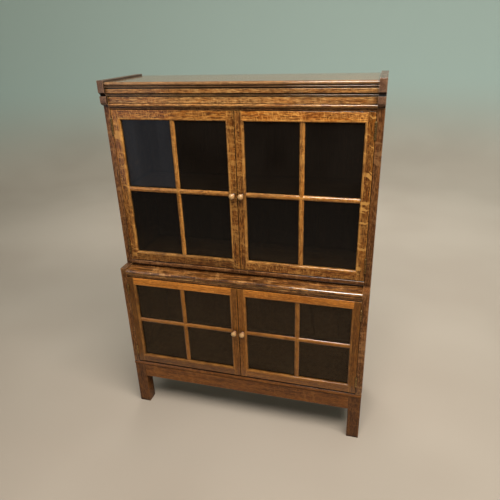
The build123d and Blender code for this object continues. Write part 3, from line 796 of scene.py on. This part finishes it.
def plinth():
    low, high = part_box("plinth_legs")
    legs = Piece("plinth_legs", "case", "dark_oak")
    for x in (low.x, high.x - LEG):
        for y in (low.y, high.y - LEG):
            leg = plank(Vector((x, y, low.z)), Vector((x + LEG, y + LEG, high.z)), Z, LEG_ARRIS)
            legs.add(leg, Z, X, LEG_TONE)
    legs.finish(DARK_OAK)
    low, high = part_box("plinth_front_rail")
    Piece("plinth_front_rail", "case", "dark_oak").add(plank(low, high, X), X, Z).finish(DARK_OAK)
    low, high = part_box("plinth_rails")
    rails = Piece("plinth_rails", "case", "dark_oak")
    back_low = Vector((low.x + LEG, high.y - RAIL_THICK, low.z))
    rails.add(plank(back_low, Vector((high.x - LEG, high.y, high.z)), X), X, Z)
    for x in (low.x, high.x - RAIL_THICK):
        side_high = Vector((x + RAIL_THICK, high.y - LEG, high.z))
        rails.add(plank(Vector((x, low.y, low.z)), side_high, Y), Y, Z)
    rails.finish(DARK_OAK)
    plinth_frame()


def plinth_frame():
    """Flat frame on the legs. The front board has a quirk, a bead and a sloped top."""
    low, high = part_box("plinth_top_frame")
    piece = Piece("plinth_top_frame", "case", "dark_oak")
    piece.add(moulding("plinth_top_frame", FRAME_FRONT_OUTLINE), X, Y)
    inner = high.y - FRAME_FRONT_BACK * MM
    back_low = Vector((low.x, high.y - FRAME_WIDE, low.z))
    piece.add(plank(back_low, high, X), X, Y)
    for x in (low.x, high.x - FRAME_WIDE):
        side_high = Vector((x + FRAME_WIDE, high.y - FRAME_WIDE, high.z))
        piece.add(plank(Vector((x, inner, low.z)), side_high, Y), Y, X)
    piece.finish(DARK_OAK)


# ---------------------------------------------------------------- cases

def hinge_pockets(level, hand):
    """Where the barrels of one door's hinges lie, as (x, y, low z, high z)."""
    door_low, door_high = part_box(f"{level}_{hand}_door_stiles")
    panel_low, panel_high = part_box(f"{level}_side_{hand}")
    half, in_from_end = HINGES[level]
    if hand == "right":
        x = (door_high.x + panel_low.x) / 2
    else:
        x = (door_low.x + panel_high.x) / 2
    y = door_low.y - PIN_PROUD
    middles = (door_low.z + in_from_end, door_high.z - in_from_end)
    return [(x, y, z - half, z + half) for z in middles]


def side_panels():
    for level in ("lower", "upper"):
        for hand in ("left", "right"):
            node = f"{level}_side_{hand}"
            board = plank(*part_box(node), Z, SIDE_ARRIS)
            board = pocketed(board, hinge_pockets(level, hand))
            piece = Piece(node, "case", "case_oak")
            piece.add(board, Z, Y, SIDE_TONES[f"{level}_{hand}"]).finish(CASE_OAK)


def back_panel(node):
    """Upright boards with a V where they meet."""
    low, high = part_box(node)
    count = round((high.x - low.x) / BACK_BOARD)
    wide = (high.x - low.x) / count
    piece = Piece(node, "case", "inner_oak")
    for i in range(count):
        x = low.x + i * wide
        corners = (Vector((x, low.y, low.z)), Vector((x + wide, high.y, high.z)))
        piece.add(plank(*corners, Z, BACK_JOINT), Z, X)
    piece.finish(DARKENED_INNER_OAK)


def plain_board(node, slot, material, along, across):
    """Board that fills its node's box."""
    board = plank(*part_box(node), along)
    Piece(node, "case", slot).add(board, along, across).finish(material)


def cases():
    side_panels()
    for level in ("lower", "upper"):
        back_panel(f"{level}_back_panel")
    plain_board("lower_facing_strip", "case_oak", CASE_OAK, X, Z)
    plain_board("upper_facing_strip", "case_oak", CASE_OAK, X, Z)
    plain_board("lower_bottom_board", "inner_oak", DARKENED_INNER_OAK, X, Y)
    plain_board("upper_top_board", "inner_oak", DARKENED_INNER_OAK, X, Y)
    plain_board("shelf", "inner_oak", DARKENED_INNER_OAK, X, Y)
    piece = Piece("ledge_board", "case", "case_oak")
    piece.add(moulding("ledge_board", LEDGE_OUTLINE), X, Y, LEDGE_TONE).finish(LEDGE_OAK)
    piece = Piece("upper_bottom_board", "case", "case_oak")
    piece.add(moulding("upper_bottom_board", UPPER_BOTTOM_OUTLINE), X, Y).finish(CASE_OAK)
    low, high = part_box("shelf_bearers")
    bearers = Piece("shelf_bearers", "case", "inner_oak")
    for x in (low.x, high.x - BEARER):
        end = Vector((x + BEARER, high.y, high.z))
        bearers.add(plank(Vector((x, low.y, low.z)), end, Y), Y, Z)
    bearers.finish(DARKENED_INNER_OAK)


# ---------------------------------------------------------------- crown

def crown():
    for hand in ("left", "right"):
        node = f"crown_end_{hand}"
        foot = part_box(node)[0].z
        piece = Piece(node, "case", "case_oak")
        piece.add(moulding(node, CROWN_END_OUTLINE), Y, Z, END_TONE)
        # the hollow under the end's upper block is painted dark, as shade
        piece.darken(foot + END_RECESS[0], foot + END_RECESS[1]).finish(END_OAK)
    piece = Piece("crown_top_board", "case", "crown_oak")
    piece.add(moulding("crown_top_board", CROWN_TOP_OUTLINE), X, Y).finish(TOP_OAK)
    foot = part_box("crown_fascia")[0].z
    piece = Piece("crown_fascia", "case", "crown_oak")
    piece.add(moulding("crown_fascia", FASCIA_OUTLINE), X, Z, FASCIA_TONE, CROWN_FIGURE)
    # the fascia's beads and grooves are painted darker: shade under the nose, with dark stain
    piece.darken(foot + FASCIA_FLAT[0], foot + FASCIA_FLAT[1], inside=False).finish(CROWN_OAK)
    piece = Piece("crown_frieze", "case", "crown_oak")
    piece.add(moulding("crown_frieze", FRIEZE_OUTLINE), X, Z, FRIEZE_TONE, CROWN_FIGURE)
    piece.finish(CROWN_OAK)
    plain_board("crown_back_rail", "inner_oak", DARKENED_INNER_OAK, X, Z)


# ---------------------------------------------------------------- doors

def lip_outline(root, direction):
    """Outline of the moulded lip, as (place across the opening, behind the front).

    root is in millimetres, and direction says on which side of it the opening lies.
    """
    flat = root + direction * LIP_FLAT / MM
    edge = root + direction * LIP / MM
    bulge = flat + direction * (LIP - LIP_FLAT) / MM * math.sin(math.pi / 4)
    sag = LIP_CURVE / MM * (1 - math.sin(math.pi / 4))
    return section(
        (root, 0, 0), (flat, 0, 0), ((bulge, sag), (edge, LIP_CURVE / MM)),
        (edge, LIP_THICK / MM, 0), (root, LIP_THICK / MM, 0),
    )


def bar_outline(middle):
    """Outline of a glazing bar: a rounded crest, square shoulders and a tongue between the panes."""
    m = middle / MM
    half = BAR_WIDE / MM / 2
    glass = LIP_THICK / MM
    shoulder = glass - BAR_SHOULDER / MM
    tongue = TONGUE / MM / 2
    back = glass + TONGUE_DEEP / MM
    return section(
        (m - half, glass, 0), (m - half, shoulder, 0), ((m, BAR_SET_BACK / MM), (m + half, shoulder)),
        (m + half, glass, 0), (m + tongue, glass, 0), (m + tongue, back, 0),
        (m - tongue, back, 0), (m - tongue, glass, 0),
    )


def knob_outline(r, length):
    """Half outline of a turned knob in millimetres, as (radius, forward of the door)."""
    foot, edge, top, inner = KNOB_COLLAR_EDGES
    collar = KNOB_COLLAR * r
    rim = length - KNOB_DOME
    face = (KNOB_FACE * r, rim)
    outline = [
        (0.0, foot), (collar - foot, foot), (collar, edge), (collar, top),
        (collar - KNOB_COLLAR_BEVEL, inner),
    ]
    neck = (KNOB_NECK[0] * r, KNOB_NECK[1])
    outline += arc(outline[-1], neck, (KNOB_SWELL[0] * r, KNOB_SWELL[1]))
    outline += arc(outline[-1], (r, KNOB_WIDEST), face)
    return outline + arc(face, (KNOB_DOME_VIA[0] * r, rim + KNOB_DOME_VIA[1]), (0.0, length))


class Door:
    """One glazed door, measured from its nodes' boxes."""

    def __init__(self, level, hand):
        self.level = level
        self.hand = hand
        self.name = f"{level}_{hand}_door"
        self.looks = DOOR_BOARDS[f"{level}_{hand}"]
        self.oak = DOOR_OAK if level == "upper" else LOW_DOOR_OAK
        self.low, self.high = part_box(f"{self.name}_stiles")
        self.sight_low, self.sight_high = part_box(f"{self.name}_glazing_bars")
        self.front = self.low.y

    def upright(self, a, b, s):
        """Point of an upright stick: a across the door, b behind its front, s up."""
        return Vector((a, self.front + b, s))

    def level_across(self, a, b, s):
        """Point of a level stick: a up, b behind the front, s across the door."""
        return Vector((s, self.front + b, a))

    def piece(self, ending, slot="door_oak"):
        return Piece(f"{self.name}_{ending}", self.name, slot)

    def stiles(self):
        """Both stiles. A stile and its lip are one stick, so they share their grain."""
        piece = self.piece("stiles")
        pockets = hinge_pockets(self.level, self.hand)
        for outer, sight in ((self.low.x, self.sight_low.x), (self.high.x, self.sight_high.x)):
            direction = 1 if sight > outer else -1
            root = sight - direction * LIP
            low = Vector((min(outer, root), self.low.y, self.low.z))
            high = Vector((max(outer, root), self.high.y, self.high.z))
            sharp = (1,) if direction > 0 else (0,)
            core = plank(low, high, Z, DOOR_ARRIS, sharp)
            look = self.looks["meeting"]
            if abs(outer) > abs(sight):
                core = pocketed(core, pockets)
                look = self.looks["outer"]
            before = piece.draw.getstate()
            piece.add(core, Z, X, *look)
            piece.draw.setstate(before)
            lip = prism(
                lip_outline(root / MM, direction), self.upright,
                self.sight_low.z - LIP, self.sight_high.z + LIP, 0.0,
                trim=lambda a, b: abs(a - root),
            )
            piece.add(lip, Z, X, *look, LIP_RUB_AND_HIGHLIGHT)
        piece.finish(self.oak)

    def rails(self):
        """Both rails, each sharing its grain with its lip."""
        piece = self.piece("rails")
        x_low = self.sight_low.x - LIP
        x_high = self.sight_high.x + LIP
        for outer, sight in ((self.low.z, self.sight_low.z), (self.high.z, self.sight_high.z)):
            direction = 1 if sight > outer else -1
            root = sight - direction * LIP
            low = Vector((x_low, self.low.y, min(outer, root)))
            high = Vector((x_high, self.high.y, max(outer, root)))
            sharp = (3,) if direction > 0 else (0,)
            look = self.looks["bottom" if direction > 0 else "top"]
            before = piece.draw.getstate()
            piece.add(plank(low, high, X, DOOR_ARRIS, sharp), X, Z, *look)
            piece.draw.setstate(before)
            lip = prism(
                lip_outline(root / MM, direction), self.level_across, x_low, x_high, 0.0,
                trim=lambda a, b: abs(a - root),
            )
            piece.add(lip, X, Z, *look, LIP_RUB_AND_HIGHLIGHT)
        piece.finish(self.oak)

    def bars(self):
        """Whole bars each way, which meet in natural mitres and run into the lips."""
        piece = self.piece("glazing_bars")
        low, high = self.sight_low, self.sight_high
        upright = bar_outline((low.x + high.x) / 2)
        look = (*self.looks["bars"], BAR_RUB_AND_HIGHLIGHT)
        piece.add(prism(upright, self.upright, low.z - LIP, high.z + LIP, 0.0), Z, X, *look)
        level = bar_outline(BAR_HEIGHTS[self.level])
        piece.add(prism(level, self.level_across, low.x - LIP, high.x + LIP, 0.0), X, Z, *look)
        piece.finish(self.oak)

    def knob(self):
        """Turned mushroom knob on a thin collar."""
        low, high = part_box(f"{self.name}_knob")
        middle = (low + high) / 2
        length = self.front - low.y
        outline = knob_outline((high.x - low.x) / 2 / MM, length / MM)
        bm = bmesh.new()
        verts = [bm.verts.new((a * MM, -b * MM, 0)) for a, b in outline]
        edges = [bm.edges.new(pair) for pair in zip(verts, verts[1:])]
        bmesh.ops.spin(
            bm, geom=verts + edges, cent=(0, 0, 0), axis=(0, 1, 0), angle=math.tau,
            steps=KNOB_SIDES, use_merge=True,
        )
        bmesh.ops.remove_doubles(bm, verts=bm.verts, dist=TINY)
        bmesh.ops.recalc_face_normals(bm, faces=bm.faces)
        bmesh.ops.translate(bm, verts=bm.verts, vec=(middle.x, self.front, middle.z))
        piece = self.piece("knob", "knob_wood")
        piece.add(bm, Y, X)
        slope, start = KNOB_RUB
        for v in piece.bm.verts:
            v[piece.tone] = max(0.0, min(1.0, (self.front - v.co.y) / length * slope + start))
        piece.finish(KNOB_WOOD)

    def beads(self):
        """Square strips behind the glass, butted round each pane."""
        low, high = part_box(f"{self.name}_glazing_beads")
        deep = high.y - low.y
        back = self.front + LIP_THICK + PANE_THICK
        middle_x = (self.sight_low.x + self.sight_high.x) / 2
        bar_z = BAR_HEIGHTS[self.level]
        gap = TONGUE / 2
        piece = self.piece("glazing_beads", "inner_oak")
        for x_low, x_high in ((low.x, middle_x - gap), (middle_x + gap, high.x)):
            for z_low, z_high in ((low.z, bar_z - gap), (bar_z + gap, high.z)):
                for x in (x_low, x_high - deep):
                    end = Vector((x + deep, back + deep, z_high))
                    piece.add(plank(Vector((x, back, z_low)), end, Z), Z, X)
                for z in (z_low, z_high - deep):
                    end = Vector((x_high - deep, back + deep, z + deep))
                    piece.add(plank(Vector((x_low + deep, back, z)), end, X), X, Z)
        piece.finish(DARKENED_INNER_OAK)


def doors():
    for level in ("lower", "upper"):
        for hand in ("left", "right"):
            door = Door(level, hand)
            door.stiles()
            door.rails()
            door.bars()
            door.knob()
            door.beads()


def kept_nodes():
    """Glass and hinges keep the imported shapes, with new materials."""
    for name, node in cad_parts.items():
        if node.hide_render:
            continue
        node.data.materials.clear()
        node.data.materials.append(GLASS if name.endswith("panes") else BRASS)


# ---------------------------------------------------------------- studio

def bowl():
    """Floor that curves up far from the object, so that no edge shows behind it."""
    bm = bmesh.new()
    outline = [(0.0, 0.0), (BOWL_MIDDLE, 0.0), (BOWL_LEVEL, 0.0)]
    for i in range(1, BOWL_STEPS + 1):
        turn = math.pi / 2 * i / BOWL_STEPS
        out = BOWL_LEVEL + BOWL_CURVE * math.sin(turn)
        outline.append((out, BOWL_CURVE * (1 - math.cos(turn))))
    outline.append((BOWL_LEVEL + BOWL_CURVE, BOWL_CURVE + BOWL_WALL))
    verts = [bm.verts.new((a, 0, b)) for a, b in outline]
    edges = [bm.edges.new(pair) for pair in zip(verts, verts[1:])]
    bmesh.ops.spin(
        bm, geom=verts + edges, cent=(0, 0, 0), axis=(0, 0, 1), angle=math.tau,
        steps=BOWL_SIDES, use_merge=True,
    )
    bmesh.ops.remove_doubles(bm, verts=bm.verts, dist=TINY * 10)
    bmesh.ops.recalc_face_normals(bm, faces=bm.faces)
    for face in bm.faces:
        face.smooth = True
    floor = mesh_object(bm, "studio_floor")
    floor.data.materials.append(plain_floor())


def area_light(name, place, aim, size, power, colour):
    data = bpy.data.lights.new(name, "AREA")
    data.shape = "RECTANGLE"
    data.size, data.size_y = size
    data.energy = power
    data.color = colour
    light = bpy.data.objects.new(name, data)
    bpy.context.scene.collection.objects.link(light)
    light.location = place
    direction = Vector(aim) - Vector(place)
    light.rotation_euler = direction.to_track_quat("-Z", "Y").to_euler()
    return light


def reflection_card(name, corners, material):
    """Card that only reflections see, so that glass and wax stay deep."""
    bm = bmesh.new()
    bm.faces.new([bm.verts.new(corner) for corner in corners])
    card = mesh_object(bm, name)
    card.data.materials.append(material)
    card.visible_camera = False
    card.visible_diffuse = False
    card.visible_shadow = False
    card.visible_transmission = False


def studio():
    bowl()
    half, far, near, lift = CARD_HALF, CARD_FAR, CARD_NEAR, CARD_LIFT
    upright = [(-half, far, 0), (half, far, 0), (half, far, CARD_HIGH), (-half, far, CARD_HIGH)]
    flat = [(-half, far, lift), (half, far, lift), (half, near, lift), (-half, near, lift)]
    reflection_card("glowing_room_card", upright, glowing_room_card())
    reflection_card("floor_card", flat, warm_card())
    for name, (place, aim, size, power, colour, in_gloss) in LIGHTS.items():
        area_light(name, place, aim, size, power, colour).visible_glossy = in_gloss
    world = bpy.data.worlds.new("studio_air")
    world.use_nodes = True
    background = world.node_tree.nodes["Background"]
    background.inputs["Color"].default_value = AIR_COLOUR
    background.inputs["Strength"].default_value = AIR_STRENGTH
    bpy.context.scene.world = world
    bpy.context.scene.view_settings.view_transform = "Standard"


def camera():
    data = bpy.data.cameras.new("camera")
    data.lens = CAMERA_LENS
    data.sensor_width = CAMERA_SENSOR
    obj = bpy.data.objects.new("camera", data)
    bpy.context.scene.collection.objects.link(obj)
    turn = Matrix.Rotation(math.radians(CAMERA_YAW), 4, "Z")
    tip = Matrix.Rotation(math.radians(90 + CAMERA_PITCH), 4, "X")
    roll = Matrix.Rotation(math.radians(CAMERA_ROLL), 4, "Z")
    obj.matrix_world = Matrix.Translation(CAMERA_PLACE) @ turn @ tip @ roll
    bpy.context.scene.camera = obj


camera()
studio()
plinth()
cases()
crown()
doors()
kept_nodes()
